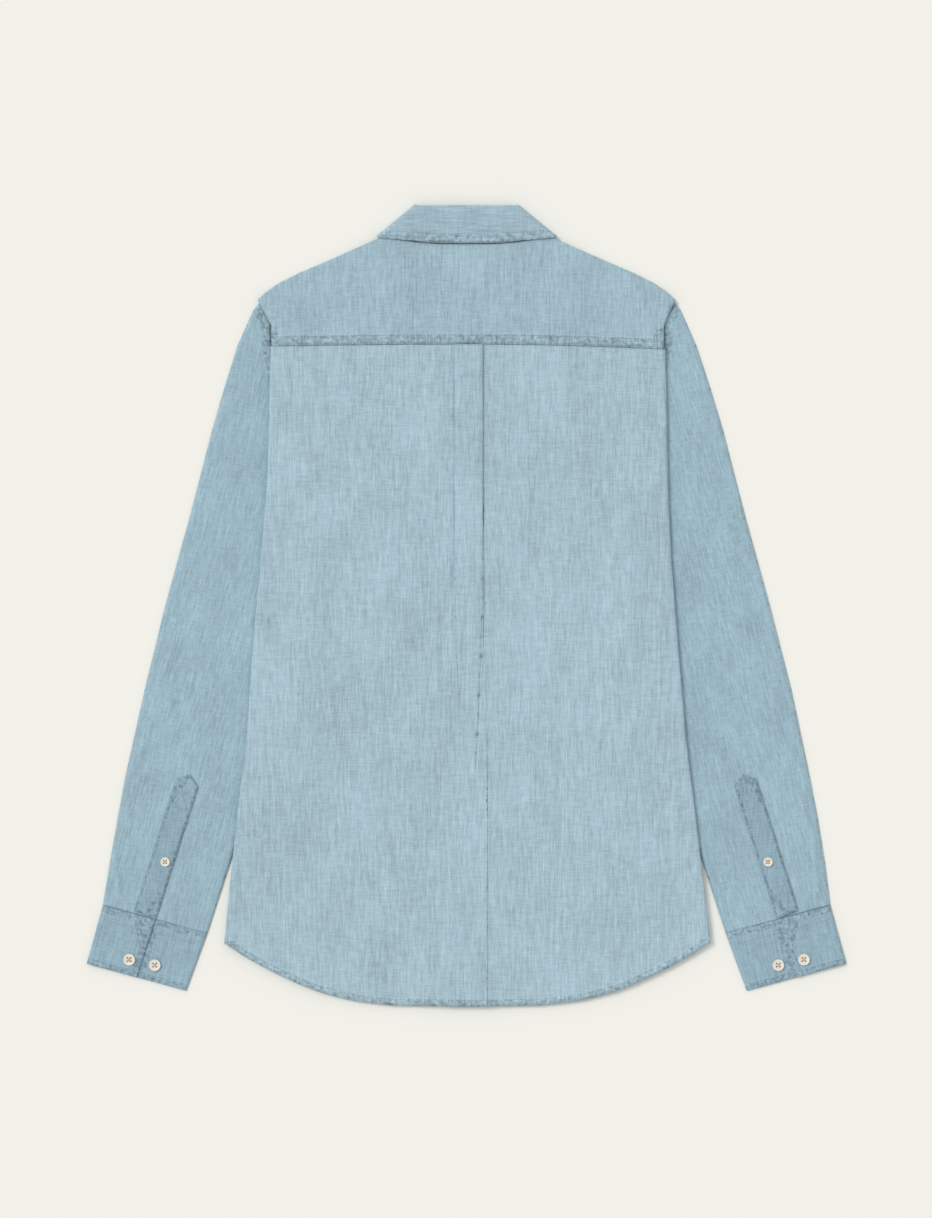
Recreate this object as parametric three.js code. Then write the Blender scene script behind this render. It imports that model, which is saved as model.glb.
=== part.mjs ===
// A long-sleeved chambray shirt, buttoned up and laid face down on a flat surface, with its back up.
// Millimetres. +X is the wearer's right, +Y points to the collar, +Z is up and the surface is z = 0.
// The origin is on that surface, at the middle of the shirt's length and width.
// "Rise" is the height of a wall's underside. The left half has sign -1 and the right half +1.
import * as THREE from 'three';

// ---- driving dimensions ----
const WALL = 1; // cloth, thickness of every wall
const SEAM = 0.3; // gap between neighbouring pieces
const TIGHT = WALL + SEAM; // step between layers that share their points
const LAYER = 1.6; // step between layers that lie loosely on each other
const OVER_TURN = 2.3; // rise of the fronts over the turned-under sides of the back
const BACK_STEP = 2.4; // step from the fronts to the back and the yoke
const MID = WALL / 2;

const HEM_LOW = -400.5;
const FRONT_HEM_LIFT = 3; // the fronts end a little above the back's hem
const SEAM_Y = 260.5; // yoke seam at the middle of the back
const BAND_HALF = 16; // half width of the front bands
const BODY_COLUMNS = 12;
const BODY_ROWS = 17;
const FRONT_TOP_ROWS = 4;
const FOLD_BULGE = 1.5; // how far a side fold rounds out

const SLEEVE_TOP = LAYER + WALL; // height of a flattened sleeve
const OVER_SLEEVE = SLEEVE_TOP + SEAM;
const BUTTON_DEPTH = 2.5;
const BUTTON_ROOM = BUTTON_DEPTH + SEAM; // the fronts clear their buttons and the collar leaf

const SHOULDER_HALF = 208; // from the middle to the armhole seam at the shoulder
const NECK_HALF = 78;
const NECK_Y = 370; // where the shoulder lines meet the neck
const BACK_NECK_Y = 360.5;
const NECK_DROP = 82; // from the neck corners to the front of the neck
const NECK_CORNER_COLUMN = 4; // the body column that ends at the shoulder seam's neck end
const YOKE_ROWS = 4;
const SHOULDER_SEAM_END_Y = 279.3; // armhole end of the front shoulder seam

const ROLL_Y = 398.3; // the collar's roll line at the back
const ROLL_HALF = 50;
const LEAF_TIP = { x: 88, y: 367 }; // where the leaf's edge turns round the shoulder
const LEAF_EDGE_Y = 362.5;
const LEAF_STEP = 1.8; // the leaf lies this much above the stand at the back
const COLLAR_POINT = { x: 47, y: 262 };
const COLLAR_FRONT = { x: 5, y: 321 }; // the roll line's end at the front
const STAND_FOLD = { x: 75.6, y: 371.2 };
const STAND_LAP = 14;

const PLEAT_LEFT = -11.5;
const PLEAT_RIGHT = 16;
const PLEAT_DEPTH = 9; // cloth turned in behind each edge of the box pleat
const PLEAT_SHUT_Y = 60; // down to here the turned-in cloth narrows
const PLEAT_END_Y = -180; // and from here down the back is plain

const LARGE_BUTTON = { radius: 5.75, depth: BUTTON_DEPTH, holeRadius: 0.85, holeOffset: 1.6 };
const SMALL_BUTTON = { radius: 4.6, depth: 2.2, holeRadius: 0.7, holeOffset: 1.3 };
const FRONT_BUTTONS = { count: 6, first: 240, spacing: 95, standY: 304 };

// The side folds of the body, as distances from the middle.
const SIDE = [
  { y: 300, left: 194.5, right: 197 },
  { y: 185, left: 196.5, right: 199.5 },
  { y: 125, left: 198.5, right: 200.5 },
  { y: 45, left: 205, right: 204 },
  { y: -47, left: 213.5, right: 211.5 },
  { y: -142, left: 219.5, right: 219.5 },
  { y: -195, left: 227, right: 226.5 },
  { y: -337, left: 241.5, right: 243.5 },
];
// How far the back turns under at the side folds: most at the armpit, least at the hem.
const TURN_UNDER = [
  { y: 290, width: -30 },
  { y: 258, width: 0.5 },
  { y: 185, width: 12 },
  { y: 65, width: 62 },
  { y: -337, width: 10 },
];
// The inner limit of the flattened sleeves, with a run-out above the yoke seam.
const SLEEVE_LIMIT = [
  { y: 285, x: 235 },
  { y: 258, x: 205 },
  { y: 185, x: 183 },
  { y: 65, x: 133 },
  { y: -328, x: 259 },
];
const HEM_CURVE = [
  { x: 0, rise: 0 },
  { x: 75, rise: 1 },
  { x: 116, rise: 6 },
  { x: 152, rise: 16 },
  { x: 178, rise: 27 },
  { x: 206, rise: 41 },
  { x: 234, rise: 57 },
  { x: 244, rise: 64 },
];
const SHOULDER = [
  { x: 78, y: 370 },
  { x: 94.5, y: 362.5 },
  { x: 128.5, y: 347.5 },
  { x: 166, y: 331.5 },
  { x: 183, y: 323.5 },
  { x: 196, y: 315.5 },
  { x: 208, y: 304 },
];
const YOKE_SIDE = [
  { y: 304, left: 208, right: 208 },
  { y: 282.5, left: 195, right: 197 },
  { y: 258, left: 194.5, right: 197 },
];
const SLEEVE_OUTER = [
  { y: 303, left: 209.4, right: 210.4 },
  { y: 283.5, left: 220.5, right: 220.5 },
  { y: 251.5, left: 231.5, right: 232.5 },
  { y: 185.5, left: 251.5, right: 253.5 },
  { y: 95.5, left: 274.5, right: 276.5 },
  { y: 5.5, left: 299.5, right: 301.5 },
  { y: -84.5, left: 321.5, right: 324.5 },
  { y: -174.5, left: 341.5, right: 343.5 },
  { y: -234.5, left: 352.5, right: 355 },
  { y: -300, left: 363.5, right: 363.5 },
];
// The armhole end of a sleeve, from the shoulder to the armpit.
const ARMHOLE = [
  { share: 0, x: 209.4, y: 303 },
  { share: 0.12, x: 199, y: 282 },
  { share: 0.22, x: 198, y: 260 },
  { share: 0.5, x: 183, y: 185 },
  { share: 1, x: 133, y: 65 },
];
const SLEEVE_HEM = { outer: { x: 363.5, y: -300 }, inner: { x: 259.5, y: -327.5 } };
const CUFF = {
  topOuter: { x: 363.3, y: -301.2 },
  topInner: { x: 259.4, y: -328.7 },
  lowOuter: { x: 379, y: -358 },
  lowInner: { x: 280, y: -385 },
  overEnd: 0.5, // the outer end of the cuff laps over to here, as a share of its width
  underEnd: 0.22,
};
const PLACKET = {
  low: { x: 318.3, y: -300.5 },
  high: { x: 279, y: -177.5 },
  halfWidth: 11.5,
  peak: 9,
};

const CHAMBRAY = new THREE.Color('#9fb9c5');
const DARKER_CHAMBRAY = new THREE.Color('#93adba');
const CREAM = new THREE.Color('#e9e2d3');

// ---- helpers ----
const lerp = THREE.MathUtils.lerp;
const clampedShare = (value, span) => THREE.MathUtils.clamp(value / span, 0, 1);
const sideName = (sign) => (sign < 0 ? 'left' : 'right');

function lookUp(table, key, column, at) {
  const falling = table[0][key] > table[table.length - 1][key];
  const rows = falling ? [...table].reverse() : table;
  if (at <= rows[0][key]) return rows[0][column];
  const next = rows.findIndex((row) => row[key] >= at);
  if (next < 0) return rows[rows.length - 1][column];
  const before = rows[next - 1];
  const share = (at - before[key]) / (rows[next][key] - before[key]);
  return lerp(before[column], rows[next][column], share);
}

function steps(count) {
  return Array.from({ length: count + 1 }, (_, index) => index / count);
}

// A wall round a grid of middle points. Missing points (null) leave their cells open, and a ring
// joins its last column to its first.
function clothWall(grid, ring = false) {
  const rowCount = grid.length;
  const columnCount = grid[0].length;
  const at = (row, column) => {
    const wrapped = ring ? (column + columnCount) % columnCount : column;
    return grid[row]?.[wrapped] ?? null;
  };
  const difference = (ahead, behind, here) => (ahead ?? here).clone().sub(behind ?? here);
  const positions = [];
  const upper = grid.map((row) => row.map(() => -1));
  for (let row = 0; row < rowCount; row += 1) {
    for (let column = 0; column < columnCount; column += 1) {
      const here = at(row, column);
      if (!here) continue;
      const alongRows = difference(at(row + 1, column), at(row - 1, column), here);
      const alongColumns = difference(at(row, column + 1), at(row, column - 1), here);
      const offset = alongRows.cross(alongColumns).normalize().multiplyScalar(WALL / 2);
      upper[row][column] = positions.length / 3;
      positions.push(...here.clone().add(offset).toArray(), ...here.clone().sub(offset).toArray());
    }
  }
  const indices = [];
  const cells = ring ? columnCount : columnCount - 1;
  const isCell = (row, column) => {
    if (row < 0 || row >= rowCount - 1 || (!ring && (column < 0 || column >= cells))) return false;
    return [[0, 0], [1, 0], [1, 1], [0, 1]].every(([down, right]) => at(row + down, column + right));
  };
  const id = (row, column) => upper[row][(column + columnCount) % columnCount];
  for (let row = 0; row < rowCount - 1; row += 1) {
    for (let column = 0; column < cells; column += 1) {
      if (!isCell(row, column)) continue;
      const corners = [
        id(row, column),
        id(row + 1, column),
        id(row + 1, column + 1),
        id(row, column + 1),
      ];
      const [a, b, c, d] = corners;
      indices.push(a, b, c, a, c, d);
      indices.push(a + 1, c + 1, b + 1, a + 1, d + 1, c + 1);
      const neighbours = [
        isCell(row, column - 1),
        isCell(row + 1, column),
        isCell(row, column + 1),
        isCell(row - 1, column),
      ];
      neighbours.forEach((joined, edge) => {
        if (joined) return;
        const from = corners[edge];
        const to = corners[(edge + 1) % corners.length];
        indices.push(to, from, from + 1, to, from + 1, to + 1);
      });
    }
  }
  return outwards(positions, indices);
}

// A geometry whose faces point out, whichever way its grid runs.
function outwards(positions, indices) {
  const corner = (index) => new THREE.Vector3().fromArray(positions, index * 3);
  let volume = 0;
  for (let index = 0; index < indices.length; index += 3) {
    const [a, b, c] = indices.slice(index, index + 3).map(corner);
    volume += a.dot(b.cross(c));
  }
  const ordered = volume > 0 ? indices : [...indices].reverse();
  const geometry = new THREE.BufferGeometry();
  geometry.setAttribute('position', new THREE.Float32BufferAttribute(positions, 3));
  geometry.setIndex(ordered);
  return geometry;
}

const shirt = new THREE.Group();

function addPiece(name, geometry, color, roughness = 0.9) {
  const mesh = new THREE.Mesh(geometry, new THREE.MeshStandardMaterial({ color, roughness, metalness: 0 }));
  mesh.name = name;
  shirt.add(mesh);
  return mesh;
}

// ---- the shape of the layers ----
const sideAt = (sign, y) => lookUp(SIDE, 'y', sideName(sign), y);
const neckline = (x) => NECK_Y - NECK_DROP * Math.sqrt(Math.max(0, 1 - (x / NECK_HALF) ** 2));
const hemY = (x) => HEM_LOW + lookUp(HEM_CURVE, 'x', 'rise', Math.abs(x));
const yokeSeamY = (x) => SEAM_Y - (x < 0 ? 2 : 5) * (x / sideAt(1, SEAM_Y)) ** 2;
const shoulderY = (x) => lookUp(SHOULDER, 'x', 'y', Math.abs(x));

function overSleeve(x, y) {
  const inside = Math.abs(x) - lookUp(SLEEVE_LIMIT, 'y', 'x', y);
  return OVER_SLEEVE * clampedShare(inside + 40, 28);
}

function overTurnUnder(x, y) {
  const limit = sideAt(Math.sign(x), y) - FOLD_BULGE - lookUp(TURN_UNDER, 'y', 'width', y);
  return OVER_TURN * clampedShare(Math.abs(x) - limit + 34, 22);
}

// The fronts lie on the surface, and rise over the sleeves, the turned-under sides of the back, the
// buttons and the collar's leaf. The right front is one layer further from the surface at the middle.
function frontRise(sign, x, y) {
  const sides = overSleeve(x, y) + overTurnUnder(x, y);
  const nearMiddle = clampedShare(52 - Math.abs(x), 34) * clampedShare(330 - y, 35);
  const middle = (BUTTON_ROOM + (sign > 0 ? TIGHT : 0)) * nearMiddle;
  const fromNeck = Math.hypot(x, y - 330);
  const neck = BUTTON_ROOM * clampedShare(136 - fromNeck, 38);
  return Math.max(sides, middle, neck);
}

const backRise = (x, y) => frontRise(Math.abs(x) < BAND_HALF + 1 ? 1 : Math.sign(x), x, y) + BACK_STEP;

const edgeOfBand = BAND_HALF + SEAM;
const columnX = (sign, column, y) => lerp(edgeOfBand, sideAt(sign, y), column / BODY_COLUMNS);

function columnEnds(sign, column) {
  const low = sign * columnX(sign, column, HEM_CURVE[0].rise + HEM_LOW);
  const high = sign * columnX(sign, column, SEAM_Y);
  return { hem: hemY(low), seam: yokeSeamY(high) };
}

function frontTop(sign, x) {
  const corner = columnX(sign, NECK_CORNER_COLUMN, SEAM_Y);
  if (x <= corner + SEAM) return neckline(x);
  const side = sideAt(sign, SEAM_Y);
  return lerp(neckline(corner), SHOULDER_SEAM_END_Y, (x - corner) / (side - corner));
}

// ---- back ----
// Points across the box pleat at one height: in under the box, back out to its edge, and over it.
function pleatSection(y) {
  const shut = clampedShare(y - PLEAT_SHUT_Y, SEAM_Y - PLEAT_SHUT_Y);
  const open = clampedShare(y - PLEAT_END_Y, PLEAT_SHUT_Y - PLEAT_END_Y);
  const depth = PLEAT_DEPTH * shut;
  const spread = 4 * (1 - open) + 0.8;
  const base = MID + backRise(0, y);
  const lift = TIGHT * open;
  const leftHalf = [
    { x: PLEAT_LEFT + depth - spread, z: base },
    { x: PLEAT_LEFT + depth, z: base + lift / 2 },
    { x: PLEAT_LEFT + depth - spread * (2 * open - 1), z: base + lift },
    { x: PLEAT_LEFT + spread * (1.6 - open), z: base + lift },
    { x: PLEAT_LEFT + spread * (1.7 - 1.7 * open), z: base + lift * 1.5 },
    { x: PLEAT_LEFT + spread * (2.6 - 1.6 * open), z: base + lift * 2 },
  ];
  const toRight = (point) => ({ x: PLEAT_RIGHT + PLEAT_LEFT - point.x, z: point.z });
  return [...leftHalf, ...leftHalf.map(toRight).reverse()];
}

function backRow(share) {
  const row = [];
  for (const sign of [-1, 1]) {
    const half = [];
    for (let column = 0; column <= BODY_COLUMNS; column += 1) {
      const { hem, seam } = columnEnds(sign, column);
      const y = lerp(hem, seam, share);
      const x = sign * columnX(sign, column, y);
      half.push(new THREE.Vector3(x, y, MID + backRise(x, y)));
    }
    const fold = half.pop();
    const turnedTo = sign * (Math.abs(fold.x) - FOLD_BULGE);
    const lowZ = MID + overSleeve(turnedTo, fold.y);
    const width = Math.max(0.5, lookUp(TURN_UNDER, 'y', 'width', fold.y));
    half.push(new THREE.Vector3(turnedTo, fold.y, fold.z));
    for (const angle of [45, 90, 135]) {
      const turn = THREE.MathUtils.degToRad(angle);
      const x = turnedTo + sign * FOLD_BULGE * Math.sin(turn);
      half.push(new THREE.Vector3(x, fold.y, lerp(lowZ, fold.z, (1 + Math.cos(turn)) / 2)));
    }
    for (const part of [0, 0.33, 0.67, 1]) {
      const x = turnedTo - sign * width * part;
      half.push(new THREE.Vector3(x, fold.y, MID + overSleeve(x, fold.y)));
    }
    if (sign < 0) row.push(...half.reverse());
    else row.push(...half);
    if (sign < 0) {
      const y = lerp(HEM_LOW, SEAM_Y, share);
      row.push(...pleatSection(y).map((point) => new THREE.Vector3(point.x, y, point.z)));
    }
  }
  return row;
}

addPiece('back', clothWall(steps(BODY_ROWS).map(backRow)), CHAMBRAY);

// ---- fronts and their bands ----
function frontColumn(sign, column) {
  const { hem, seam } = columnEnds(sign, column);
  const lowShares = steps(BODY_ROWS);
  const points = lowShares.map((share) => {
    const y = lerp(hem, seam, share);
    const lift = FRONT_HEM_LIFT * (1 - clampedShare(share, 1 / BODY_ROWS));
    return { x: columnX(sign, column, y), y: y + lift };
  });
  const seamX = columnX(sign, column, seam);
  const top = frontTop(sign, seamX) - SEAM;
  for (const share of steps(FRONT_TOP_ROWS).slice(1)) {
    points.push({ x: seamX, y: lerp(seam, top, share) });
  }
  const inset = column === BODY_COLUMNS ? 2 * FOLD_BULGE : 0;
  return points.map(({ x, y }) => {
    const across = sign * (x - inset);
    return new THREE.Vector3(across, y, MID + frontRise(sign, across, y));
  });
}

for (const sign of [-1, 1]) {
  const columns = Array.from({ length: BODY_COLUMNS + 1 }, (_, column) => frontColumn(sign, column));
  addPiece(`front_${sideName(sign)}`, clothWall(columns), CHAMBRAY);
}

// The buttonhole band of the left front is nearest to the surface, and the button stand is on it.
function bandGrid(sign) {
  return [-BAND_HALF, 0, BAND_HALF].map((x) => {
    const points = steps(BODY_ROWS).map((share) => lerp(HEM_LOW + FRONT_HEM_LIFT, SEAM_Y, share));
    points.push(lerp(SEAM_Y, neckline(x) - SEAM, 0.5), neckline(x) - SEAM);
    return points.map((y) => new THREE.Vector3(x, y, MID + frontRise(sign, x, Math.min(y, 295))));
  });
}

addPiece('front_band', clothWall(bandGrid(-1)), DARKER_CHAMBRAY);
addPiece('button_stand', clothWall(bandGrid(1)), CHAMBRAY);

// ---- yoke ----
// One piece from the back seam, up over the shoulders, to the shoulder seams of the fronts.
const neckShare = NECK_HALF / SHOULDER_HALF;
const yokeShares = [0, 0.125, 0.25, neckShare, 0.48, 0.6, 0.7, 0.8, 0.9, 0.96, 1];

function yokeColumn(sign, share) {
  const isNeck = share < neckShare;
  const topX = share * SHOULDER_HALF;
  const top = isNeck ? BACK_NECK_Y + (NECK_Y - BACK_NECK_Y) * (share / neckShare) ** 4 : shoulderY(topX);
  const bottom = yokeSeamY(sign * share * sideAt(sign, SEAM_Y)) + SEAM;
  const points = steps(YOKE_ROWS).map((part) => {
    const y = lerp(bottom, top, part);
    const x = sign * share * lookUp(YOKE_SIDE, 'y', sideName(sign), y);
    return new THREE.Vector3(x, y, MID + backRise(x, y));
  });
  const foldRows = 3;
  const lowerRows = 2;
  if (isNeck) return [...points, ...Array(foldRows + lowerRows + 1).fill(null)];
  const edge = points[points.length - 1];
  const lowZ = MID + frontRise(sign, edge.x, edge.y);
  for (const angle of [45, 90, 135]) {
    const turn = THREE.MathUtils.degToRad(angle);
    const out = 0.8 * Math.sin(turn);
    const z = lerp(lowZ, edge.z, (1 + Math.cos(turn)) / 2);
    points.push(new THREE.Vector3(edge.x + sign * out * 0.42, edge.y + out * 0.9, z));
  }
  const corner = columnX(sign, NECK_CORNER_COLUMN, SEAM_Y);
  const along = (share - neckShare) / (1 - neckShare);
  const end = {
    x: sign * lerp(corner, sideAt(sign, SEAM_Y), along),
    y: lerp(neckline(corner), SHOULDER_SEAM_END_Y, along) + SEAM,
  };
  for (const part of steps(lowerRows)) {
    const x = lerp(edge.x, end.x, part);
    const y = lerp(edge.y, end.y, part);
    points.push(new THREE.Vector3(x, y, MID + frontRise(sign, x, y)));
  }
  return points;
}

const yokeColumns = [
  ...[...yokeShares].reverse().map((share) => yokeColumn(-1, share)),
  ...yokeShares.slice(1).map((share) => yokeColumn(1, share)),
];
addPiece('yoke', clothWall(yokeColumns), CHAMBRAY);

// ---- sleeves ----
// A Coons patch between the cuff, the armhole, the outer edge and the straight underarm edge.
function sleevePoint(sign, across, along) {
  const outerY = lerp(SLEEVE_HEM.outer.y, ARMHOLE[0].y, along);
  const outer = { x: lookUp(SLEEVE_OUTER, 'y', sideName(sign), outerY), y: outerY };
  const armpit = ARMHOLE[ARMHOLE.length - 1];
  const innerX = lerp(SLEEVE_HEM.inner.x, armpit.x, along);
  const innerY = lerp(SLEEVE_HEM.inner.y, armpit.y, along);
  const hemX = lerp(SLEEVE_HEM.outer.x, SLEEVE_HEM.inner.x, across);
  const hemLineY = lerp(SLEEVE_HEM.outer.y, SLEEVE_HEM.inner.y, across);
  const capX = lookUp(ARMHOLE, 'share', 'x', across);
  const capY = lookUp(ARMHOLE, 'share', 'y', across);
  const cornerX = lerp(hemX, lerp(ARMHOLE[0].x, armpit.x, across), along);
  const cornerY = lerp(hemLineY, lerp(ARMHOLE[0].y, armpit.y, across), along);
  const x = lerp(outer.x, innerX, across) + lerp(hemX, capX, along) - cornerX;
  const y = lerp(outer.y, innerY, across) + lerp(hemLineY, capY, along) - cornerY;
  return { x: sign * x, y };
}

// A flattened ring: the lower wall from the outer edge to the inner one, and the upper wall back.
function sleeveRing(sign, along) {
  const shares = [0.02, 0.12, 0.22, 0.35, 0.5, 0.75, 0.985];
  const lower = shares.map((share) => ({ ...sleevePoint(sign, share, along), z: MID }));
  const upper = [...lower].reverse().map((point) => ({ ...point, z: MID + LAYER }));
  const inner = { ...sleevePoint(sign, 1, along), z: MID + LAYER / 2 };
  const outer = { ...sleevePoint(sign, 0.003, along), z: MID + LAYER / 2 };
  return [...lower, inner, ...upper, outer].map(({ x, y, z }) => new THREE.Vector3(x, y, z));
}

for (const sign of [-1, 1]) {
  const rings = steps(14).map((along) => sleeveRing(sign, along));
  addPiece(`sleeve_${sideName(sign)}`, clothWall(rings, true), CHAMBRAY);
}

// ---- sleeve plackets ----
function placketGrid(sign) {
  const axis = { x: PLACKET.high.x - PLACKET.low.x, y: PLACKET.high.y - PLACKET.low.y };
  const length = Math.hypot(axis.x, axis.y);
  const unit = { x: axis.x / length, y: axis.y / length };
  const z = MID + LAYER + TIGHT;
  return [-1, 0, 1].map((across) => {
    const reach = length + (across === 0 ? PLACKET.peak : 0);
    return steps(5).map((share) => {
      const x = PLACKET.low.x + unit.x * reach * share - unit.y * across * PLACKET.halfWidth;
      const y = PLACKET.low.y + unit.y * reach * share + unit.x * across * PLACKET.halfWidth;
      return new THREE.Vector3(sign * x, y, z);
    });
  });
}

for (const sign of [-1, 1]) {
  addPiece(`placket_${sideName(sign)}`, clothWall(placketGrid(sign)), DARKER_CHAMBRAY);
}

// ---- cuffs ----
// Each cuff is an open barrel pressed flat. Its outer end laps over its inner end.
function cuffPoint(sign, across, along) {
  const top = { x: lerp(CUFF.topOuter.x, CUFF.topInner.x, across), y: lerp(CUFF.topOuter.y, CUFF.topInner.y, across) };
  const low = { x: lerp(CUFF.lowOuter.x, CUFF.lowInner.x, across), y: lerp(CUFF.lowOuter.y, CUFF.lowInner.y, across) };
  return { x: sign * lerp(low.x, top.x, along), y: lerp(low.y, top.y, along) };
}

const CUFF_OVER_Z = MID + LAYER + TIGHT;
const cuffSection = [
  ...[CUFF.overEnd, 0.35, 0.18, 0.03].map((across) => ({ across, z: CUFF_OVER_Z })),
  { across: 0.008, z: lerp(MID, CUFF_OVER_Z, 0.8) },
  { across: 0, z: lerp(MID, CUFF_OVER_Z, 0.5) },
  { across: 0.008, z: lerp(MID, CUFF_OVER_Z, 0.2) },
  ...[0.03, 0.3, 0.6, 0.985].map((across) => ({ across, z: MID })),
  { across: 0.995, z: MID + LAYER / 2 },
  ...[0.985, 0.75, CUFF.overEnd, CUFF.underEnd].map((across) => ({ across, z: MID + LAYER })),
];

for (const sign of [-1, 1]) {
  const rows = steps(2).map((along) => cuffSection.map(({ across, z }) => {
    const { x, y } = cuffPoint(sign, across, along);
    return new THREE.Vector3(x, y, z);
  }));
  addPiece(`cuff_${sideName(sign)}`, clothWall(rows), DARKER_CHAMBRAY);
}

// ---- collar ----
// Columns run from the left front end, round the back of the neck, to the right front end.
// Each has its foot on the neck seam, its top on the roll line and its tip on the leaf's edge.
const standBackZ = MID + BUTTON_ROOM + BACK_STEP;
const leafFold = { bulge: 2.4, top: standBackZ + LEAF_STEP, low: MID };
const mix = (from, to, share) => ({ x: lerp(from.x, to.x, share), y: lerp(from.y, to.y, share) });

function collarHalf(sign) {
  const back = [0, 0.25, 0.5, 0.75, 1].map((share) => ({
    foot: {
      x: STAND_FOLD.x * share,
      y: BACK_NECK_Y + 1.2 + (STAND_FOLD.y - BACK_NECK_Y - 1.2) * share ** 4,
    },
    roll: { x: ROLL_HALF * share, y: ROLL_Y },
    tip: { x: LEAF_TIP.x * share, y: lerp(LEAF_EDGE_Y, LEAF_TIP.y, share ** 2) },
    turn: 0,
  }));
  const fold = back[back.length - 1];
  const turns = [45, 90, 135, 180].map((turn) => ({ ...fold, turn }));
  const front = [4, 3, 2, 1, 0].map((column) => {
    const share = (5 - column) / 5;
    const footX = columnX(sign, column, SEAM_Y) - (column === NECK_CORNER_COLUMN ? 2.2 : 0);
    const straight = mix(fold.roll, COLLAR_FRONT, share);
    const bow = 6 * Math.sin(Math.PI * share);
    return {
      foot: { x: footX, y: neckline(columnX(sign, column, SEAM_Y)) + SEAM },
      roll: { x: straight.x + bow, y: straight.y },
      tip: mix(fold.tip, COLLAR_POINT, share),
      turn: 180,
    };
  });
  return [...back, ...turns, ...front];
}

function standColumn(sign, column) {
  const turn = THREE.MathUtils.degToRad(column.turn);
  const bulge = { x: 0.6 * Math.sin(turn), y: 0.5 * Math.sin(turn) };
  return [0, 0.5, 1].map((share) => {
    const short = mix(column.foot, column.roll, share * 0.97);
    const x = sign * (short.x + bulge.x);
    const y = short.y + bulge.y;
    const low = MID + (column.turn === 180 ? frontRise(sign, x, Math.min(y, 295)) : BUTTON_ROOM);
    return new THREE.Vector3(x, y, lerp(low, standBackZ, (1 + Math.cos(turn)) / 2));
  });
}

// The ends of the stand lap over each other at the middle of the front, the left one outermost.
function standLap(sign) {
  return [0, 0.5, 1].map((share) => {
    const y = lerp(neckline(STAND_LAP) + SEAM, COLLAR_FRONT.y, share);
    return new THREE.Vector3(-sign * STAND_LAP, y, MID + frontRise(sign, 0, 290));
  });
}

function collarColumns(makeColumn, ends) {
  const left = collarHalf(-1).map((column) => makeColumn(-1, column));
  const right = collarHalf(1).map((column) => makeColumn(1, column));
  return [...ends(-1), ...left.reverse(), ...right.slice(1), ...ends(1)];
}

addPiece('collar_stand', clothWall(collarColumns(standColumn, (sign) => [standLap(sign)])), CHAMBRAY);

const leafRows = [
  { down: 0, over: 0, rise: 0 },
  { down: 0, over: 0.9, rise: 0.5 },
  { down: 0, over: 0, rise: 1 },
  { down: 0.33, over: 0, rise: 1 },
  { down: 0.67, over: 0, rise: 1 },
  { down: 1, over: 0, rise: 1 },
];

function leafColumn(sign, column) {
  const turn = THREE.MathUtils.degToRad(column.turn);
  const height = (1 + Math.cos(turn)) / 2;
  const away = new THREE.Vector2(column.roll.x - column.tip.x, column.roll.y - column.tip.y).normalize();
  const out = new THREE.Vector2(-away.y, away.x).multiplyScalar(column.roll.x > 0 ? -1 : 0);
  return leafRows.map(({ down, over, rise }) => {
    const flat = mix(column.roll, column.tip, down);
    const bulge = Math.sin(turn) * lerp(0.6, leafFold.bulge, rise);
    const inner = lerp(MID + BUTTON_ROOM, standBackZ, height);
    const outer = lerp(leafFold.low, leafFold.top, height);
    const x = sign * (flat.x + away.x * over + out.x * bulge);
    const y = flat.y + away.y * over + out.y * bulge;
    return new THREE.Vector3(x, y, lerp(inner, outer, rise));
  });
}

addPiece('collar_leaf', clothWall(collarColumns(leafColumn, () => [])), CHAMBRAY);

// ---- buttons ----
function buttonGeometry({ radius, depth, holeRadius, holeOffset }) {
  const outline = new THREE.Shape();
  outline.absarc(0, 0, radius, 0, 2 * Math.PI, false);
  for (const [right, up] of [[1, 1], [-1, 1], [-1, -1], [1, -1]]) {
    const hole = new THREE.Path();
    hole.absarc(right * holeOffset, up * holeOffset, holeRadius, 0, 2 * Math.PI, true);
    outline.holes.push(hole);
  }
  return new THREE.ExtrudeGeometry(outline, { depth, curveSegments: 7, bevelEnabled: false });
}

function addButton(name, kind, x, y, z) {
  const button = addPiece(name, buttonGeometry(kind), CREAM, 0.4);
  button.position.set(x, y, z);
}

for (let index = 0; index < FRONT_BUTTONS.count; index += 1) {
  addButton(`button_front_${index + 1}`, LARGE_BUTTON, 0, FRONT_BUTTONS.first - index * FRONT_BUTTONS.spacing, 0);
}
addButton('button_collar', LARGE_BUTTON, 0, FRONT_BUTTONS.standY, 0);

const placketTop = LAYER + TIGHT + WALL;
for (const sign of [-1, 1]) {
  const side = sideName(sign);
  const lapped = cuffPoint(sign, 0.38, 0.26);
  const spare = cuffPoint(sign, 0.63, 0.28);
  addButton(`button_cuff_outer_${side}`, LARGE_BUTTON, lapped.x, lapped.y, CUFF_OVER_Z + MID + SEAM);
  addButton(`button_cuff_inner_${side}`, LARGE_BUTTON, spare.x, spare.y, MID + LAYER + MID + SEAM);
  addButton(`button_placket_${side}`, SMALL_BUTTON, sign * 301, -256, placketTop + SEAM);
}

export default shirt;
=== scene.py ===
# %% [markdown]
# # A chambray shirt, laid face down
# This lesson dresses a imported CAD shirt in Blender. The frame gives every piece its place, in metres.
# The shirt lies on its front, so the camera looks straight down at the back, the yoke and the cuffs.

# %% Load the frame
import math
import bpy
import bmesh
import numpy as np
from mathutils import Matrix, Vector
from mathutils.bvhtree import BVHTree


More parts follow.
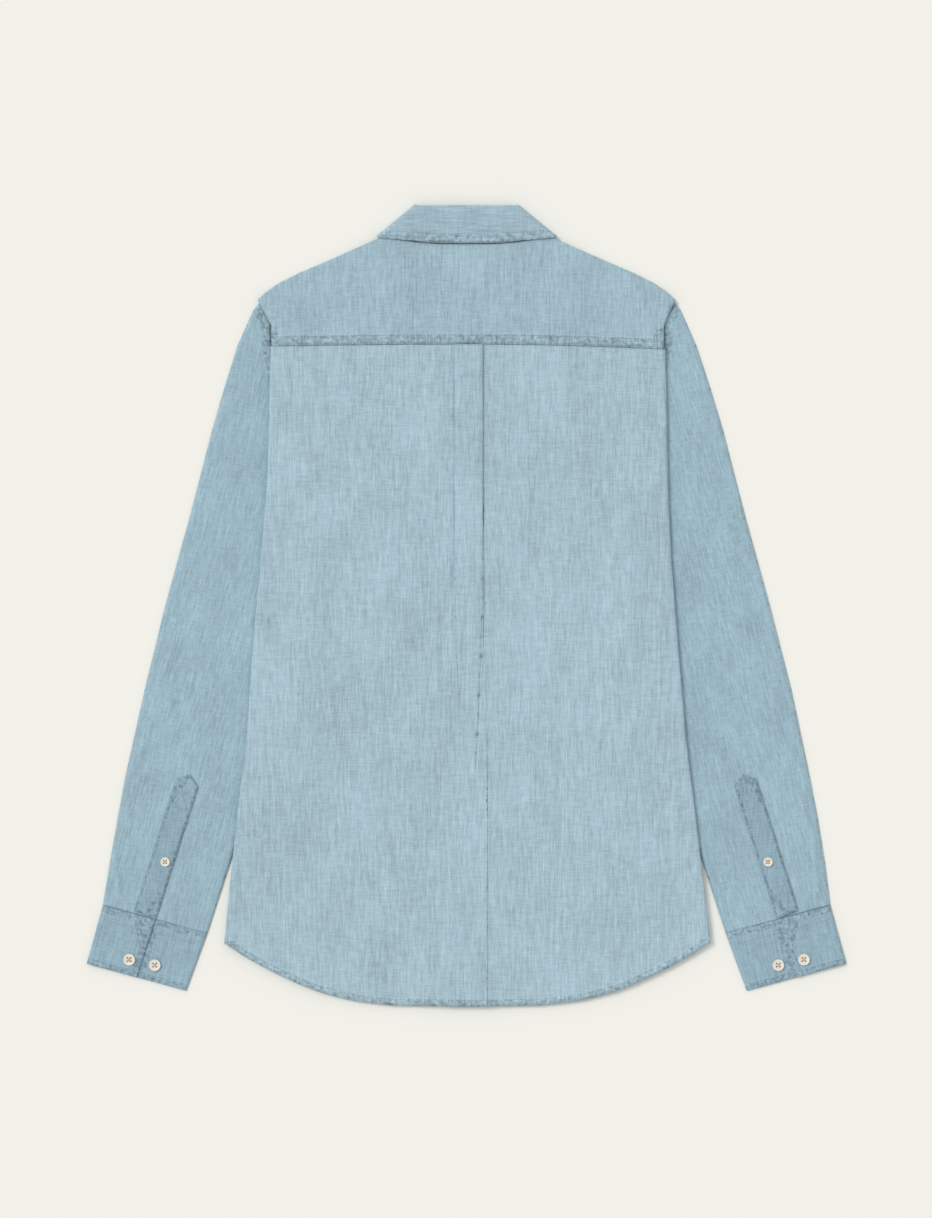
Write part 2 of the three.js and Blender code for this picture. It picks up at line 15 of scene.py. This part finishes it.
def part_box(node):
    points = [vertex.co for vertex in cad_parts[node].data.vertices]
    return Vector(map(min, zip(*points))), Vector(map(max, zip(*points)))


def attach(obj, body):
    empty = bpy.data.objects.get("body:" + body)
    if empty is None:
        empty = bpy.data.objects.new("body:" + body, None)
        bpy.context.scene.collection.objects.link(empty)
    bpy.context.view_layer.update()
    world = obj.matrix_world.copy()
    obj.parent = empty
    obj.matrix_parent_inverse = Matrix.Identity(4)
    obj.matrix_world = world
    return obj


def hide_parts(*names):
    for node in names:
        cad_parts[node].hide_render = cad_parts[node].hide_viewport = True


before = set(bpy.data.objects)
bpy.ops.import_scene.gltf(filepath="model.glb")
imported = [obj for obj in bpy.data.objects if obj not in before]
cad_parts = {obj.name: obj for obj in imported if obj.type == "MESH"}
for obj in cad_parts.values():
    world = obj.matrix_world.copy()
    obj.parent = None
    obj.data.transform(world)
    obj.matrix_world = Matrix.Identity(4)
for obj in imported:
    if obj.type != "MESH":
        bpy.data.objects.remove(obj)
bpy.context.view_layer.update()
MM = 0.001
low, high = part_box("back")
print("back panel", [round(v / MM) for v in low], [round(v / MM) for v in high])

# %% [markdown]
# ## Stage, camera and light
# The real shirt was laid on a pale board under a broad soft light from the upper left. A long lens
# straight above keeps the outline free of perspective. Most light comes from the even world, and a
# wide sun gives the soft edge shadow to the lower right.

# %% Colours
def linear(hex_colour):
    """Turn an sRGB hex colour into Blender's linear values."""
    parts = [int(hex_colour[i:i + 2], 16) / 255 for i in (1, 3, 5)]
    return tuple(c / 12.92 if c <= 0.04045 else ((c + 0.055) / 1.055) ** 2.4 for c in parts) + (1.0,)


print("middle grey is", round(linear("#808080")[0], 3), "in linear light")


# %% One function that adds a node
def node(tree, kind, settings=None, **links):
    """Add one node, set its properties and inputs, and link what is a socket."""
    made = tree.nodes.new(kind)
    for name, value in (settings or {}).items():
        setattr(made, name, value)
    for name, value in links.items():
        key = int(name[1:]) if name[0] == "i" and name[1:].isdigit() else name.replace("_", " ")
        if isinstance(value, bpy.types.NodeSocket):
            tree.links.new(value, made.inputs[key])
        else:
            made.inputs[key].default_value = value
    return made


# %% A plain material, for what has no pattern of its own
def plain_material(name, colour, roughness):
    """One even colour with little shine."""
    material = bpy.data.materials.new(name)
    material.use_nodes = True
    shader = material.node_tree.nodes["Principled BSDF"]
    shader.inputs["Base Color"].default_value = linear(colour)
    shader.inputs["Roughness"].default_value = roughness
    shader.inputs["Specular IOR Level"].default_value = 0.2
    return material


# %% Floor
FLOOR_SIZE = 12
FLOOR_DROP = 0.2 * MM
bpy.ops.object.select_all(action="DESELECT")
bpy.ops.mesh.primitive_plane_add(size=FLOOR_SIZE, location=(0, 0, -FLOOR_DROP))
floor = bpy.context.object
floor.name = "floor"
floor.data.materials.append(plain_material("pale_board", "#f6f5ee", 0.9))
print("floor is", FLOOR_SIZE, "m wide")

# %% Camera
FRAME_HEIGHT = 1218 * MM
LENS = 100
SENSOR = 36
camera = bpy.data.objects.new("camera", bpy.data.cameras.new("camera"))
bpy.context.scene.collection.objects.link(camera)
camera.data.lens = LENS
camera.location = (-0.5 * MM, -3.5 * MM, FRAME_HEIGHT * LENS / SENSOR)
camera.data.clip_end = 50
bpy.context.scene.camera = camera
print("camera at", tuple(round(v, 3) for v in camera.location))

# %% Light
WORLD_STRENGTH = 0.66
SUN_STRENGTH = 1.22
world = bpy.data.worlds.new("soft_studio")
world.use_nodes = True
world.node_tree.nodes["Background"].inputs["Color"].default_value = (1, 1, 1, 1)
world.node_tree.nodes["Background"].inputs["Strength"].default_value = WORLD_STRENGTH
bpy.context.scene.world = world
sun = bpy.data.objects.new("soft_sun", bpy.data.lights.new("soft_sun", "SUN"))
sun.data.energy = SUN_STRENGTH
sun.data.angle = math.radians(24)
sun.rotation_euler = (math.radians(-20), math.radians(-34), 0)
bpy.context.scene.collection.objects.link(sun)
bpy.context.scene.view_settings.view_transform = "Standard"
print("world", WORLD_STRENGTH, "and sun", SUN_STRENGTH)

# %% [markdown]
# ## Chambray
# Chambray is a plain weave of dyed warp and white weft. Uneven (slub) yarns leave streaks 1.5 to 2 mm
# wide and 10 to 30 mm long down each panel, crossed by finer weft. The real 0.3 mm threads are too
# fine to show, so the weave is drawn about three times as coarse. Seams pucker when washed: a distance
# to the sewn edge, kept on each vertex, places a darker band there, blotched with painted light and
# shade that stands for the puckers, with a thin painted highlight along its edge.

# %% The weave's layers
# width and length of a thread or streak in mm, detail of the noise, and share of the contrast:
# long warp slubs, short warp threads, weft threads and the broad clouding that washing leaves
WEAVE_LAYERS = ((1.7, 26, 2.0, 0.30), (0.9, 9, 1.0, 0.26), (11, 1.3, 1.0, 0.20), (45, 70, 2.0, 0.16))
WEAVE_CONTRAST = 1.75
# size and strength of the painted light and shade that stands for the seam's puckers
PUCKER_MM = 3.6
PUCKER_SHADING_CONTRAST = 1.25
print(len(WEAVE_LAYERS), "layers in the weave")


# %% The cloth material
def chambray(name, colour, turn=0.0, band_mm=0.0, band_dark=0.12):
    """Washed chambray. turn is the warp's angle, band_mm the width of the sewn edge."""
    material = bpy.data.materials.new(name)
    material.use_nodes = True
    tree = material.node_tree
    shader = tree.nodes["Principled BSDF"]
    place = node(tree, "ShaderNodeTexCoord").outputs["Object"]
    along = node(tree, "ShaderNodeMapping", Vector=place, Rotation=(0, 0, turn)).outputs["Vector"]

    def threads(width_mm, length_mm, detail):
        size = (1 / (width_mm * MM), 1 / (length_mm * MM), 60)
        stretched = node(tree, "ShaderNodeMapping", Vector=along, Scale=size).outputs["Vector"]
        return node(tree, "ShaderNodeTexNoise", Vector=stretched, Scale=1.0, Detail=detail).outputs["Fac"]

    def math_node(operation, first, second):
        return node(tree, "ShaderNodeMath", {"operation": operation}, i0=first, i1=second).outputs[0]

    weave = None
    for width, length, detail, weight in WEAVE_LAYERS:
        part = math_node("MULTIPLY", math_node("SUBTRACT", threads(width, length, detail), 0.5), weight)
        weave = part if weave is None else math_node("ADD", weave, part)
    shade = math_node("ADD", 1.0, math_node("MULTIPLY", weave, WEAVE_CONTRAST))
    if band_mm:
        edge = node(tree, "ShaderNodeAttribute", {"attribute_name": "edge_mm"}).outputs["Fac"]
        inside = node(tree, "ShaderNodeMapRange", {"interpolation_type": "SMOOTHSTEP"}, Value=edge,
                      i1=band_mm - 0.8, i2=band_mm + 0.8, i3=1.0, i4=0.0).outputs[0]
        line = node(tree, "ShaderNodeMapRange", {"interpolation_type": "SMOOTHSTEP"}, Value=edge,
                    i1=band_mm + 0.3, i2=band_mm + 2.4, i3=1.0, i4=0.0).outputs[0]
        # painted light and shade: blotches in the darker band that stand for the seam's puckers
        pucker_shading = math_node("MULTIPLY", math_node("SUBTRACT", threads(PUCKER_MM, PUCKER_MM, 2.0), 0.5),
                           PUCKER_SHADING_CONTRAST)
        darker = math_node("SUBTRACT", pucker_shading, band_dark)
        shade = math_node("ADD", shade, math_node("MULTIPLY", inside, darker))
        # painted highlight: a thin lighter line along the band's edge, where the seam's ridge catches the
        # light
        light = math_node("MULTIPLY", math_node("SUBTRACT", line, inside), 0.05)
        shade = math_node("ADD", shade, light)
    tint = node(tree, "ShaderNodeVectorMath", {"operation": "SCALE"}, i0=linear(colour)[:3])
    tree.links.new(shade, tint.inputs["Scale"])
    tree.links.new(tint.outputs[0], shader.inputs["Base Color"])
    bump = node(tree, "ShaderNodeBump", Strength=0.25, Distance=0.0004, Height=weave)
    tree.links.new(bump.outputs["Normal"], shader.inputs["Normal"])
    shader.inputs["Roughness"].default_value = 0.92
    shader.inputs["Specular IOR Level"].default_value = 0.15
    shader.inputs["Sheen Weight"].default_value = 0.06
    print("material", name, "with a sewn edge of", band_mm, "mm")
    return material


# %% One cloth for each piece
# The sleeves' warp runs along the sleeve, and the collar is cut across the cloth.
SLEEVE_TURN = math.radians(14)
CLOTH = {
    "back": chambray("chambray_back", "#a8c1cc", 0, 6.5, 0.10),
    "yoke": chambray("chambray_yoke", "#a2bcc8", 0, 10, 0.12),
    "front": chambray("chambray_front", "#a4bdc8", 0, 6.5, 0.10),
    "sleeve_left": chambray("chambray_sleeve_left", "#9ebac6", SLEEVE_TURN, 7, 0.12),
    "sleeve_right": chambray("chambray_sleeve_right", "#9ebac6", -SLEEVE_TURN, 7, 0.12),
    "cuff_left": chambray("chambray_cuff_left", "#97b2bf", SLEEVE_TURN, 6, 0.10),
    "cuff_right": chambray("chambray_cuff_right", "#97b2bf", -SLEEVE_TURN, 6, 0.10),
    "placket": chambray("chambray_placket", "#93aebb", 0, 2.5, 0.14),
    "collar": chambray("chambray_collar", "#a2bbc7", math.radians(90), 7.5, 0.10),
}

# %% [markdown]
# ## Cloth panels
# Every panel could be draped by simulation, but this shirt was pressed and laid flat by hand, so its
# shape is known. Each panel starts from its own wall in the frame, is merged and cut finer, and is
# then worked like a sculpt: creases are soft troughs listed one by one, uneven as a real press leaves.

# %% Where the body folds and creases
# height y and distance from the middle of the side folds, and how far the back turns under there
SIDE = ((-337, 242), (-195, 227), (-142, 219), (-47, 212), (45, 204), (125, 199), (300, 195))
TURNED = ((-337, 10), (65, 62), (185, 12), (258, 0.5))
PLATEAU = 6.7
# from x, from y, to x, to y, half width, depth: millimetres, downward is positive
BODY_CREASES = (
    (-178, 236, -120, -60, 9, 0.35), (160, 220, 128, -120, 11, 0.3), (-60, -40, -95, -330, 12, 0.35),
    (70, 10, 62, -290, 10, 0.3), (-140, -180, -165, -330, 10, 0.4), (120, -210, 150, -340, 9, 0.4),
    (-11.5, 255, -12, 60, 2.2, 0.55), (-12, 66, -25, -110, 2.6, 0.7),
    (15, 60, 13, -70, 3, 0.3), (13, -62, 5, -188, 3.5, 0.55),
)
SLEEVE_CREASES = {
    -1: ((-297, -40, -339, -168, 4, 0.9), (-353.5, -246, -353.5, -300, 3, 0.9),
         (-354, -276, -345, -305, 3, 0.8), (-262, 60, -292, -90, 8, 0.5), (-275, -250, -266, -318, 5, 0.6)),
    1: ((340, -184, 354, -252, 4, 1.0), (354, -252, 355, -296, 2.5, 0.9),
        (263, 90, 300, -70, 8, 0.5), (280, -240, 268, -315, 6, 0.6), (318, -60, 326, -150, 6, 0.5)),
}
print(len(BODY_CREASES), "creases on the body,", sum(map(len, SLEEVE_CREASES.values())), "on the sleeves")


# %% The hem and the depth of a crease
# lowest point of the hem, then how much it rises at each distance from the middle
HEM_LOWEST = -400.5
HEM_X = (0, 75, 116, 152, 178, 206, 234, 244)
HEM_RISE = (0, 1, 6, 16, 27, 41, 57, 64)


def hem_y(x):
    """The curve of the shirt tail, in millimetres."""
    return HEM_LOWEST + np.interp(abs(x), HEM_X, HEM_RISE)


def crease_depth(x, y, creases):
    """How far the cloth sinks at points x, y, in millimetres."""
    total = np.zeros_like(x)
    for x0, y0, x1, y1, half, depth in creases:
        length = math.hypot(x1 - x0, y1 - y0)
        ux, uy = (x1 - x0) / length, (y1 - y0) / length
        along = ((x - x0) * ux + (y - y0) * uy) / length
        across = (x - x0) * uy - (y - y0) * ux + 2 * np.sin(along * 7 + x0)
        fade = np.clip(np.minimum(along, 1 - along) * 5 + 0.4, 0, 1)
        total += depth * np.exp(-(across / half) ** 2) * fade
    return total


print("the hem rises", round(float(hem_y(HEM_X[-1]) - hem_y(0)), 1), "mm to the side")


# %% Find the cut edge of a panel
def rim_segments(mesh, wall=1.0):
    """The middle line of the wall's narrow rim: short edges across it, joined by rim faces."""
    short = {}
    for edge in mesh.edges:
        if abs(edge.calc_length() / MM - wall) < 0.02:
            middle = (edge.verts[0].co + edge.verts[1].co) / 2 / MM
            for vert in edge.verts:
                short[vert] = middle
    found = set()
    for edge in mesh.edges:
        a, b = edge.verts
        if a in short and b in short and (short[a] - short[b]).length > 1.5:
            if any(all(v in short for v in face.verts) for face in edge.link_faces):
                found.add((tuple(short[a]), tuple(short[b])))
    return found


def distance_to(points, segments):
    """Distance in millimetres from each point to the nearest segment."""
    best = np.full(len(points), 99.0)
    for a, b in segments:
        a, b = np.array(a), np.array(b)
        d = b - a
        t = np.clip(((points - a) @ d) / (d @ d), 0, 1)
        best = np.minimum(best, np.linalg.norm(points - (a + t[:, None] * d), axis=1))
    return best


# %% Make one panel
def panel(name, source, material, longest, keep_edge, shape=None):
    """One cloth piece: a finer copy of its wall, with its sewn edge measured and its folds sunk."""
    bpy.ops.object.select_all(action="DESELECT")
    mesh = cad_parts[source].data.copy()
    piece = bpy.data.objects.new(name, mesh)
    bpy.context.scene.collection.objects.link(piece)
    mesh.materials.clear()
    mesh.materials.append(material)
    work = bmesh.new()
    work.from_mesh(mesh)
    bmesh.ops.remove_doubles(work, verts=work.verts, dist=0.00001)
    segments = [s for s in rim_segments(work) if keep_edge(*((Vector(s[0]) + Vector(s[1])) / 2))]
    for _ in range(6):
        long_edges = [e for e in work.edges if e.calc_length() > longest * MM]
        if not long_edges or len(work.faces) > 90000:
            break
        bmesh.ops.subdivide_edges(work, edges=long_edges, cuts=1, use_grid_fill=False)
        bmesh.ops.triangulate(work, faces=[f for f in work.faces if len(f.verts) > 3])
    work.to_mesh(mesh)
    work.free()
    points = np.array([v.co for v in mesh.vertices]) / MM
    edge = distance_to(points, segments) if segments else np.full(len(points), 99.0)
    if shape:
        points = shape(points)
        mesh.vertices.foreach_set("co", (points * MM).ravel())
    layer = mesh.attributes.new("edge_mm", "FLOAT", "POINT")
    layer.data.foreach_set("value", edge.astype(np.float32))
    mesh.update()
    piece.select_set(True)
    bpy.context.view_layer.objects.active = piece
    bpy.ops.object.shade_smooth_by_angle(angle=math.radians(50))
    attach(piece, "root")
    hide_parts(source)
    print(name, len(mesh.polygons), "faces,", len(segments), "rim segments")
    return piece


# %% [markdown]
# ## Back and yoke
# The back hangs from the yoke with a box pleat. Pressed flat it is nearly level, so the hollow
# between its rises over the sleeves and the button band is lifted, and only soft creases stay.

# %% Level the body and sink its creases
# millimetres: the turned-under cloth is below the first height, and the yoke's front below the second
TURNED_TOP = 4.4
YOKE_FRONT_TOP = 4.1
YOKE_FRONT_Y = 268
NECK_HALF = 60
FOLD_FADE = 14
LIFT = 0.9


def level_body(points):
    """The upper cloth lifted where it sags between its supports, with the creases sunk in it."""
    x, y, z = points.T.copy()
    side = np.interp(y, *zip(*SIDE))
    turned = np.interp(y, *zip(*TURNED))
    upper = ~((z < TURNED_TOP) & (np.abs(x) > side - turned - 5))
    upper &= ~((y > YOKE_FRONT_Y) & (z < YOKE_FRONT_TOP) & (np.abs(x) > NECK_HALF))
    lifted = z + np.clip(PLATEAU - z, 0, None) * LIFT
    far_from_fold = np.clip((side + FOLD_FADE - np.abs(x)) / FOLD_FADE, 0, 1)
    far_from_fold *= np.clip((y + 420) / 40, 0.35, 1)
    in_yoke = np.clip((300 - y) / 60, 0, 1)
    share = far_from_fold * in_yoke
    z = np.where(upper, z + (lifted - z) * share - crease_depth(x, y, BODY_CREASES), z)
    return np.column_stack([x, y, z])


# %% The back and the yoke
panel("back_panel", "back", CLOTH["back"], 5.5,
      lambda x, y, z: abs(y - hem_y(x)) < 5, level_body)
panel("yoke_panel", "yoke", CLOTH["yoke"], 7,
      lambda x, y, z: y < 272, level_body)

# %% [markdown]
# ## Fronts and bands
# The fronts lie against the surface and are hidden, so they are cut less finely. The two bands are
# doubled cloth on a real shirt, and take the darker, washed finish of the plackets.

# %% Fronts and bands
for side in ("left", "right"):
    panel(f"front_panel_{side}", f"front_{side}", CLOTH["front"], 16,
          lambda x, y, z: abs(y - hem_y(x)) < 8)
for name in ("front_band", "button_stand"):
    panel(f"{name}_strip", name, CLOTH["placket"], 9,
          lambda x, y, z: abs(x) > 15)

# %% [markdown]
# ## Sleeves, plackets and cuffs
# Each sleeve is a tube pressed flat, gathered into its cuff by two small pleats on the outer side.
# The tower placket and the cuff are doubled cloth, so they are drawn darker and firmer.

# %% Shape the sleeves
RIDGE_OFFSET = 4.5
RIDGES = 3
# height y and distance x of the armhole seam, and how far the cap moves in to meet the yoke
ARMHOLE_Y = (255, 282, 304)
ARMHOLE_X = (197, 198.5, 210)
CAP_REACH = 2.6


def sleeve_shape(sign):
    """A function that creases one sleeve and brings its cap in under the yoke's edge."""
    def shape(points):
        x, y, z = points.T.copy()
        upper = np.clip((z - 1.2) / 0.4, 0, 1)
        z = z - upper * np.minimum(crease_depth(x, y, SLEEVE_CREASES[sign]), 0.7)
        ridges = tuple((x0 - sign * RIDGE_OFFSET, y0, x1 - sign * RIDGE_OFFSET, y1, half, height)
                       for x0, y0, x1, y1, half, height in SLEEVE_CREASES[sign][:RIDGES])
        z = z + upper * crease_depth(x, y, ridges) * 1.7
        # The cap is sewn to the yoke, so its edge is moved in to meet the yoke's edge.
        near = np.clip((8 - (np.abs(x) - np.interp(y, ARMHOLE_Y, ARMHOLE_X))) / 8, 0, 1)
        cap = near * np.clip((y - 225) / 20, 0, 1)
        x = x - np.sign(x) * CAP_REACH * cap
        return np.column_stack([x, y, z])
    return shape


# %% Shape the plackets and cuffs
# the outer end of the cuff's top edge, then how much lower and how far in its inner end is
CUFF_TOP_OUTER = (363.3, -301.2)
CUFF_DROP = 27.5
CUFF_WIDTH = 103.9
PLACKET_REACH = 10.5


def placket_shape(points):
    """The placket's foot reaches the cuff's top edge."""
    x, y, z = points.T.copy()
    reach = PLACKET_REACH * np.clip((-270 - y) / 35, 0, 1)
    return np.column_stack([x + np.sign(x) * 0.3 * reach, y - 0.95 * reach, z])


def cuff_shape(points):
    """The cuff's top edge closes up to the sleeve."""
    x, y, z = points.T.copy()
    top_line = CUFF_TOP_OUTER[1] - (CUFF_TOP_OUTER[0] - np.abs(x)) * CUFF_DROP / CUFF_WIDTH
    near = np.clip(1 - (top_line - y) / 8, 0, 1)
    return np.column_stack([x - np.sign(x) * 0.35 * near, y + 1.3 * near, z])


def cuff_edges(x, y, z):
    """Every cut edge of the cuff that shows. The end of the under lap doesn't."""
    under_end = 338 < abs(x) < 358 and -356 < y < -314
    return z > 1.2 and not under_end


# %% Sleeves, plackets and cuffs
for side, sign in (("left", -1), ("right", 1)):
    panel(f"sleeve_tube_{side}", f"sleeve_{side}", CLOTH[f"sleeve_{side}"], 4.5,
          lambda x, y, z: y > 240 and z > 1.2, sleeve_shape(sign))
    panel(f"placket_tower_{side}", f"placket_{side}", CLOTH["placket"], 4,
          lambda x, y, z: True, placket_shape)
    panel(f"cuff_barrel_{side}", f"cuff_{side}", CLOTH[f"cuff_{side}"], 4,
          cuff_edges, cuff_shape)

# %% [markdown]
# ## Collar
# The stand is a band round the neck, and the leaf rolls over its top and falls to the yoke. Only the
# leaf's long edge is topstitched, so the neck side is kept out of the sewn band.

# %% Collar
panel("collar_stand_band", "collar_stand", CLOTH["collar"], 6,
      lambda x, y, z: False)
panel("collar_leaf_fall", "collar_leaf", CLOTH["collar"], 4,
      lambda x, y, z: math.hypot(x, y - 330) > 33 and y < 372)

# %% [markdown]
# ## Topstitching
# A shirt is sewn with about 5 stitches per centimetre. Here there are about 3, each a small raised
# lozenge laid on the cloth below it, and a whole seam is one joined mesh.

# %% The thread, and how to find the cloth's top
thread = plain_material("cotton_thread_washed", "#7f9aa9", 0.8)
trees = [BVHTree.FromPolygons([v.co for v in o.data.vertices], [p.vertices for p in o.data.polygons])
         for o in list(bpy.context.scene.objects) if o.type == "MESH" and o.data.attributes.get("edge_mm")]


def top_of_cloth(x, y):
    """Height of the topmost cloth at a place, in metres, or None beside the shirt."""
    hits = [tree.ray_cast(Vector((x, y, 0.05)), Vector((0, 0, -1)))[0] for tree in trees]
    heights = [hit.z for hit in hits if hit]
    return max(heights) if heights else None


print(len(trees), "cloths to lay stitches on")


# %% One line of stitches
LOZENGE = ((-1, 0), (-0.5, -1), (0.5, -1), (1, 0), (0.5, 1), (-0.5, 1))


def stitch_line(name, points, pitch=3.2, length=2.2, half=0.32):
    """Stitches along a line of points in millimetres, as one mesh."""
    verts, faces = [], []
    for (x0, y0), (x1, y1) in zip(points, points[1:]):
        span = math.hypot(x1 - x0, y1 - y0)
        ux, uy = (x1 - x0) / span, (y1 - y0) / span
        for k in range(int(span / pitch)):
            cx, cy = x0 + ux * pitch * (k + 0.5), y0 + uy * pitch * (k + 0.5)
            z = top_of_cloth(cx * MM, cy * MM)
            if z is None:
                continue
            z = z / MM
            ring = [(right * length / 2, up * half) for right, up in LOZENGE]
            start = len(verts)
            verts += [((cx + ux * p - uy * q) * MM, (cy + uy * p + ux * q) * MM, (z + 0.02) * MM)
                      for p, q in ring]
            verts += [(cx * MM, cy * MM, (z + 0.28) * MM), (cx * MM, cy * MM, (z - 0.1) * MM)]
            count = len(ring)
            for corner in range(count):
                following = (corner + 1) % count
                faces += [(start + corner, start + following, start + count),
                          (start + following, start + corner, start + count + 1)]
    mesh = bpy.data.meshes.new(name)
    mesh.from_pydata(verts, [], faces)
    mesh.materials.append(thread)
    piece = bpy.data.objects.new(name, mesh)
    bpy.context.scene.collection.objects.link(piece)
    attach(piece, "root")
    print(name, len(faces) // (2 * len(LOZENGE)), "stitches")


# %% Stitch the yoke, the hem and the collar
def seam_y(x):
    """The yoke seam, a little lower towards the sides."""
    return 260.5 - (2 if x < 0 else 5) * (x / 197) ** 2


across = np.linspace(-190, 190, 39)
stitch_line("yoke_stitch_upper", [(x, seam_y(x) + 9.5) for x in across])
stitch_line("yoke_stitch_lower", [(x, seam_y(x) + 2.2) for x in across])
stitch_line("hem_stitch", [(x, hem_y(x) + 6.5) for x in np.linspace(-236, 238, 60)])
stitch_line("collar_stitch", [(x, 371 + 3.4 * (x / 80) ** 2) for x in np.linspace(-78, 78, 17)])

# %% Stitch the cuffs and plackets
# the cuff's corners, top outer, top inner, low inner and low outer, and the placket's middle line
CUFF_CORNERS = (CUFF_TOP_OUTER, (259.4, -328.7), (280, -385), (379, -358))
PLACKET_FOOT = (318.3, -300.5)
PLACKET_HEAD = (279, -177.5)
PLACKET_BOX = 26


def on_cuff(sign, across, up):
    """A place on a cuff, from shares of its width and height."""
    corners = [Vector((sign * x, y)) for x, y in CUFF_CORNERS]
    upper_edge = corners[0].lerp(corners[1], across)
    return tuple(corners[3].lerp(corners[2], across).lerp(upper_edge, up))


for side, sign in (("left", -1), ("right", 1)):
    for part, start, end in (("top", (0.03, 0.8), (0.97, 0.8)), ("low", (0.03, 0.1), (0.97, 0.1)),
                             ("end", (0.44, 0.1), (0.44, 0.8))):
        stitch_line(f"cuff_stitch_{part}_{side}", [on_cuff(sign, *start), on_cuff(sign, *end)])
    foot = Vector((PLACKET_FOOT[0] * sign, PLACKET_FOOT[1]))
    head = Vector((PLACKET_HEAD[0] * sign, PLACKET_HEAD[1]))
    unit = (head - foot).normalized()
    normal = Vector((-unit.y, unit.x))
    for index, offset in enumerate((-9.5, 9.5)):
        edge_line = [tuple(foot + normal * offset), tuple(head + normal * offset)]
        stitch_line(f"placket_stitch_{side}_{index}", edge_line)
    box_low = head - unit * PLACKET_BOX
    cross = (box_low + normal * 9, box_low - normal * 9, head + normal * 9, head - normal * 9,
             box_low + normal * 9)
    stitch_line(f"placket_box_{side}", [tuple(point) for point in cross])

# %% [markdown]
# ## Buttons
# Shirt buttons are cast polyester made to look like shell: a raised rim, a dished middle and four
# holes with a cross of tan thread. Each is modelled from a cylinder, in the place the frame gives it.

# %% Finishes of the button and its thread
def button_material():
    """Cast polyester, clouded like shell."""
    material = plain_material("cast_polyester_shell", "#ece6d8", 0.35)
    tree = material.node_tree
    place = node(tree, "ShaderNodeTexCoord").outputs["Object"]
    cloud = node(tree, "ShaderNodeTexNoise", Vector=place, Scale=260.0, Detail=2.0).outputs["Fac"]
    mixed = node(tree, "ShaderNodeMix", {"data_type": "RGBA"}, Factor=cloud)
    mixed.inputs[6].default_value = linear("#e3dccb")
    mixed.inputs[7].default_value = linear("#f5f0e6")
    tree.links.new(mixed.outputs[2], tree.nodes["Principled BSDF"].inputs["Base Color"])
    return material


shell = button_material()
button_thread = plain_material("tan_cotton_thread", "#c9a78f", 0.8)
print("button finishes:", shell.name, "and", button_thread.name)


# %% The button's body
def button_body(name, centre, radius, depth, offset, hole):
    """A cylinder, dished on top by an inset, with four holes cut through and a soft rim."""
    bpy.ops.object.select_all(action="DESELECT")
    bpy.ops.mesh.primitive_cylinder_add(vertices=40, radius=radius * MM, depth=depth * MM, location=centre)
    body = bpy.context.object
    body.name = name
    bpy.ops.object.mode_set(mode="EDIT")
    work = bmesh.from_edit_mesh(body.data)
    for face in work.faces:
        face.select = face.normal.z > 0.9
    bmesh.update_edit_mesh(body.data)
    bpy.ops.mesh.inset(thickness=radius * 0.24 * MM)
    bpy.ops.transform.translate(value=(0, 0, -0.55 * MM))
    bpy.ops.object.mode_set(mode="OBJECT")
    cutters = []
    for sx, sy in ((1, 1), (-1, 1), (-1, -1), (1, -1)):
        spot = (centre[0] + sx * offset * MM, centre[1] + sy * offset * MM, centre[2])
        bpy.ops.mesh.primitive_cylinder_add(vertices=12, radius=hole * MM, depth=2 * depth * MM,
                                            location=spot)
        cutters.append(bpy.context.object)
    for cutter in cutters:
        bpy.context.view_layer.objects.active = body
        cut = body.modifiers.new("hole", "BOOLEAN")
        cut.operation = "DIFFERENCE"
        cut.object = cutter
        bpy.ops.object.modifier_apply(modifier=cut.name)
        bpy.data.objects.remove(cutter)
    soft = body.modifiers.new("rim", "BEVEL")
    soft.width = 0.3 * MM
    soft.segments = 2
    soft.limit_method = "ANGLE"
    bpy.ops.object.modifier_apply(modifier=soft.name)
    bpy.ops.object.select_all(action="DESELECT")
    body.select_set(True)
    bpy.ops.object.transform_apply(location=True, rotation=True, scale=True)
    bpy.ops.object.shade_smooth_by_angle(angle=math.radians(40))
    body.data.materials.append(shell)
    return body


# %% The cross of thread
def button_cross(name, centre, height, offset):
    """Two strands that cross between the four holes, joined as one piece."""
    threads = []
    for turn in (45, -45):
        bpy.ops.mesh.primitive_cylinder_add(vertices=8, radius=0.42 * MM, depth=2.9 * offset * MM,
                                            location=(centre[0], centre[1], height),
                                            rotation=(math.radians(90), 0, math.radians(turn)))
        threads.append(bpy.context.object)
    for strand in threads:
        strand.select_set(True)
    bpy.context.view_layer.objects.active = threads[0]
    bpy.ops.object.join()
    cross = bpy.context.object
    cross.name = f"{name}_thread"
    bpy.ops.object.transform_apply(location=True, rotation=True, scale=True)
    cross.data.materials.append(button_thread)
    return cross


# %% Put a button in each place
# The thread is on top for the cuffs and plackets, and underneath for the fronts and collar, which lie
# face down. The dish is on top of every button, so on those seven it is on the wrong side.
def make_button(name, source, radius, depth, offset, hole):
    """One button with its thread, in the box of its node."""
    lowest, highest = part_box(source)
    centre = [(a + b) / 2 for a, b in zip(lowest, highest)]
    body = button_body(name, centre, radius, depth, offset, hole)
    faces_up = source.startswith(("button_cuff", "button_placket"))
    height = highest[2] - 0.35 * MM if faces_up else lowest[2] + 0.4 * MM
    cross = button_cross(name, centre, height, offset)
    for piece in (body, cross):
        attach(piece, "root")
    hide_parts(source)


# radius, depth, distance of each hole from the middle along X and Y, and radius of a hole, in mm
SMALL_BUTTON = (4.6, 2.2, 1.3, 0.7)
LARGE_BUTTON = (5.75, 2.5, 1.6, 0.85)
sources = sorted(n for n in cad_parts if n.startswith("button_") and n != "button_stand")
for source in sources:
    kind = SMALL_BUTTON if "placket" in source else LARGE_BUTTON
    make_button(f"shell_{source}", source, *kind)
print(len(sources), "buttons made")
